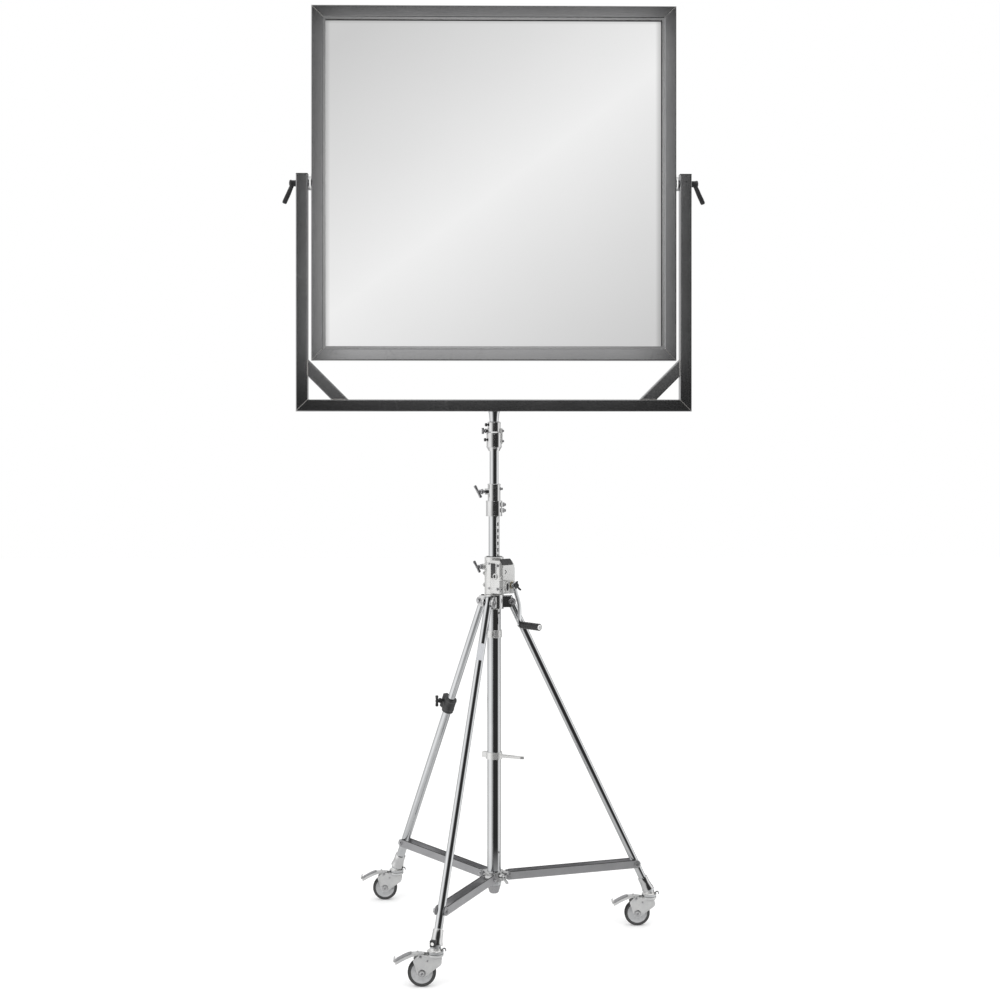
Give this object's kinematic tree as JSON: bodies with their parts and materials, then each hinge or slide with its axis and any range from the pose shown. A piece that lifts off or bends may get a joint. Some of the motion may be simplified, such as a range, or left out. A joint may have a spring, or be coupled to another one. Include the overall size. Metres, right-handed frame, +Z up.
{
  "type": "mirror reflector stand",
  "caption": "Square mirror panel that tilts in a steel yoke on a wind-up stand, with folding legs on braked castors, for bouncing light on a set.",
  "frame": {"origin": "on the floor, in the middle of the whole footprint", "axes": "+Z up the mast, -Y the way the mirror faces, +X to the mirror's right seen from the front"},
  "size_m": [1.2418, 0.8498, 2.724],
  "materials": {
    "chrome_tube": "polished chromium plate",
    "cast_metal": "polished die casting",
    "zinc_steel": "bright zinc plate",
    "knob_metal": "plated die casting",
    "brushed_steel": "brushed along each member",
    "bead_metal": "mill finish strip",
    "board": "dark composite board",
    "mirror": "silvered glass",
    "black_plastic": "fine texture",
    "white_plastic": "smooth acetal",
    "castor_rubber": "grey tread bonded to a pale centre",
    "bolt_steel": "bright turned steel",
    "bronze": "turned bronze"
  },
  "bodies": {
    "base": {"column_tube": "chrome_tube", "column_foot": "black_plastic", "leg_crown": "cast_metal", "leg_pivot_bolts": "chrome_tube", "column_clip": "zinc_steel", "winch_housing": "cast_metal", "winch_cover": "zinc_steel", "cover_screws": "zinc_steel", "riser_bush": "white_plastic"},
    "riser_1": {"riser_1_tube": "chrome_tube", "rack_strip": "zinc_steel", "riser_collar": "cast_metal"},
    "riser_2": {"riser_2_tube": "chrome_tube", "top_socket": "cast_metal"},
    "yoke": {"yoke_spigot": "cast_metal", "yoke_rail": "brushed_steel", "yoke_arms": "brushed_steel", "yoke_braces": "brushed_steel", "arm_caps": "black_plastic"},
    "panel": {"frame_left": "brushed_steel", "frame_right": "brushed_steel", "frame_bottom": "brushed_steel", "frame_top": "brushed_steel", "mirror_glass": "mirror", "backing_board": "board", "glazing_beads": "bead_metal", "tilt_bolts": "bolt_steel"},
    "lever_left": {"tilt_lever_left": "black_plastic"},
    "lever_right": {"tilt_lever_right": "black_plastic"},
    "crank": {"crank_shaft": "bolt_steel", "crank_arm": "chrome_tube"},
    "grip": {"crank_grip": "black_plastic"},
    "pinion": {"pinion_shaft": "bolt_steel", "worm_wheel": "bronze"},
    "riser_lock": {"riser_lock_knob": "knob_metal"},
    "collar_screw": {"collar_knob": "knob_metal"},
    "socket_screw": {"socket_knob": "knob_metal"},
    "hub_screw": {"hub_knob": "knob_metal"},
    "level_screw": {"level_knob": "knob_metal"},
    "leg_front": {"leg_tube_front": "chrome_tube", "leg_shoe_front": "zinc_steel"},
    "leg_right": {"leg_tube_right": "chrome_tube", "leg_shoe_right": "zinc_steel"},
    "leg_left": {"leg_tube_left": "chrome_tube"},
    "level_leg": {"level_leg_tube": "chrome_tube", "level_clamp": "black_plastic", "leg_shoe_left": "zinc_steel"},
    "hub": {"spreader_hub": "cast_metal"},
    "brace_front": {"spreader_brace_front": "zinc_steel"},
    "brace_right": {"spreader_brace_right": "zinc_steel"},
    "brace_left": {"spreader_brace_left": "zinc_steel"},
    "fork_front": {"castor_fork_front": "zinc_steel"},
    "wheel_front": {"castor_wheel_front": "castor_rubber"},
    "pedal_front": {"brake_pedal_front": "zinc_steel"},
    "fork_right": {"castor_fork_right": "zinc_steel"},
    "wheel_right": {"castor_wheel_right": "castor_rubber"},
    "pedal_right": {"brake_pedal_right": "zinc_steel"},
    "fork_left": {"castor_fork_left": "zinc_steel"},
    "wheel_left": {"castor_wheel_left": "castor_rubber"},
    "pedal_left": {"brake_pedal_left": "zinc_steel"}
  },
  "joints": [
    {"name": "riser_1_slide", "type": "slide", "parent": "base", "child": "riser_1", "axis": [0, 0, 1], "range_m": [-0.115, 0.6]},
    {"name": "pinion_turn", "type": "hinge", "parent": "base", "child": "pinion", "pos_m": [0.02218, 0.01455, 1.054], "axis": [0.766, 0.6428, 0], "range_deg": [-367.05, 1910.81]},
    {"name": "crank_turn", "type": "hinge", "parent": "base", "child": "crank", "pos_m": [0.01532, 0.05384, 1.028], "axis": [0.6428, -0.766, 0], "range_deg": [-2933.38, 15283.51]},
    {"name": "grip_spin", "type": "hinge", "parent": "crank", "child": "grip", "pos_m": [0.07826, 0.0107, 0.91179], "axis": [0.6428, -0.766, 0], "continuous": true},
    {"name": "riser_lock_turn", "type": "hinge", "parent": "base", "child": "riser_lock", "pos_m": [-0.0197, 0.03751, 1.08], "axis": [-0.9848, -0.1736, 0], "range_deg": [0, 540]},
    {"name": "riser_2_slide", "type": "slide", "parent": "riser_1", "child": "riser_2", "axis": [0, 0, 1], "range_m": [-0.09, 0.55]},
    {"name": "collar_screw_turn", "type": "hinge", "parent": "riser_1", "child": "collar_screw", "pos_m": [-0.01674, 0.03803, 1.3], "axis": [-0.9848, -0.1736, 0], "range_deg": [0, 540]},
    {"name": "socket_screw_turn", "type": "hinge", "parent": "riser_2", "child": "socket_screw", "pos_m": [-0.01477, 0.03838, 1.478], "axis": [-0.9848, -0.1736, 0], "range_deg": [0, 540]},
    {"name": "yoke_pan", "type": "hinge", "parent": "riser_2", "child": "yoke", "pos_m": [0, 0.04098, 1.505], "axis": [0, 0, 1], "continuous": true},
    {"name": "panel_tilt", "type": "hinge", "parent": "yoke", "child": "panel", "pos_m": [0, 0.04098, 2.204], "axis": [1, 0, 0], "continuous": true},
    {"name": "lever_left_turn", "type": "hinge", "parent": "yoke", "child": "lever_left", "pos_m": [-0.58, 0.04098, 2.204], "axis": [-1, 0, 0], "range_deg": [0, 75]},
    {"name": "lever_right_turn", "type": "hinge", "parent": "yoke", "child": "lever_right", "pos_m": [0.58, 0.04098, 2.204], "axis": [1, 0, 0], "range_deg": [-75, 0]},
    {"name": "leg_front_fold", "type": "hinge", "parent": "base", "child": "leg_front", "pos_m": [-0.0171, -0.006, 0.977], "axis": [0.9397, -0.342, 0], "range_deg": [0, 21]},
    {"name": "leg_right_fold", "type": "hinge", "parent": "base", "child": "leg_right", "pos_m": [0.04924, 0.04966, 0.977], "axis": [-0.1736, 0.9848, 0], "range_deg": [0, 21]},
    {"name": "leg_left_fold", "type": "hinge", "parent": "base", "child": "leg_left", "pos_m": [-0.03214, 0.07928, 0.977], "axis": [-0.766, -0.6428, 0], "range_deg": [0, 21]},
    {"name": "level_leg_slide", "type": "slide", "parent": "leg_left", "child": "level_leg", "axis": [-0.2787, 0.3322, -0.9011], "range_m": [0, 0.15]},
    {"name": "level_screw_turn", "type": "hinge", "parent": "level_leg", "child": "level_screw", "pos_m": [-0.14749, 0.21676, 0.6594], "axis": [-0.766, -0.6428, 0], "range_deg": [0, 540]},
    {"name": "hub_slide", "type": "slide", "parent": "base", "child": "hub", "axis": [0, 0, 1], "range_m": [0, 0.31081]},
    {"name": "hub_screw_turn", "type": "hinge", "parent": "hub", "child": "hub_screw", "pos_m": [0.01561, 0.02693, 0.173], "axis": [0.7431, -0.6691, 0], "range_deg": [0, 540]},
    {"name": "brace_front_fold", "type": "hinge", "parent": "hub", "child": "brace_front", "pos_m": [-0.01436, 0.00151, 0.173], "axis": [0.9397, -0.342, 0], "range_deg": [0, 80.31]},
    {"name": "brace_right_fold", "type": "hinge", "parent": "hub", "child": "brace_right", "pos_m": [0.04136, 0.04827, 0.173], "axis": [-0.1736, 0.9848, 0], "range_deg": [0, 80.31]},
    {"name": "brace_left_fold", "type": "hinge", "parent": "hub", "child": "brace_left", "pos_m": [-0.027, 0.07315, 0.173], "axis": [-0.766, -0.6428, 0], "range_deg": [0, 80.31]},
    {"name": "castor_front_swivel", "type": "hinge", "parent": "leg_front", "child": "fork_front", "pos_m": [-0.16143, -0.40255, 0.088], "axis": [0, 0, 1], "continuous": true},
    {"name": "castor_front_roll", "type": "hinge", "parent": "fork_front", "child": "wheel_front", "pos_m": [-0.19743, -0.40255, 0.038], "axis": [0, 1, 0], "continuous": true},
    {"name": "brake_front_press", "type": "hinge", "parent": "fork_front", "child": "pedal_front", "pos_m": [-0.20143, -0.40255, 0.083], "axis": [0, -1, 0], "range_deg": [0, 12]},
    {"name": "castor_right_swivel", "type": "hinge", "parent": "leg_right", "child": "fork_right", "pos_m": [0.46483, 0.12294, 0.088], "axis": [0, 0, 1], "continuous": true},
    {"name": "castor_right_roll", "type": "hinge", "parent": "fork_right", "child": "wheel_right", "pos_m": [0.42883, 0.12294, 0.038], "axis": [0, 1, 0], "continuous": true},
    {"name": "brake_right_press", "type": "hinge", "parent": "fork_right", "child": "pedal_right", "pos_m": [0.42483, 0.12294, 0.083], "axis": [0, -1, 0], "range_deg": [0, 12]},
    {"name": "castor_left_swivel", "type": "hinge", "parent": "level_leg", "child": "fork_left", "pos_m": [-0.3034, 0.40255, 0.088], "axis": [0, 0, 1], "continuous": true},
    {"name": "castor_left_roll", "type": "hinge", "parent": "fork_left", "child": "wheel_left", "pos_m": [-0.3394, 0.40255, 0.038], "axis": [0, 1, 0], "continuous": true},
    {"name": "brake_left_press", "type": "hinge", "parent": "fork_left", "child": "pedal_left", "pos_m": [-0.3434, 0.40255, 0.083], "axis": [0, -1, 0], "range_deg": [0, 12]}
  ],
  "couplings": [
    {"joint": "pinion_turn", "follows": "riser_1_slide", "rad_per_m": 55.554},
    {"joint": "crank_turn", "follows": "riser_1_slide", "rad_per_m": 444.43},
    {"joint": "leg_right_fold", "follows": "leg_front_fold", "ratio": 1},
    {"joint": "leg_left_fold", "follows": "leg_front_fold", "ratio": 1},
    {"joint": "hub_slide", "follows": "leg_front_fold", "m_per_rad": 0.84816},
    {"joint": "brace_front_fold", "follows": "leg_front_fold", "ratio": 3.8249},
    {"joint": "brace_right_fold", "follows": "leg_front_fold", "ratio": 3.8249},
    {"joint": "brace_left_fold", "follows": "leg_front_fold", "ratio": 3.8249}
  ]
}
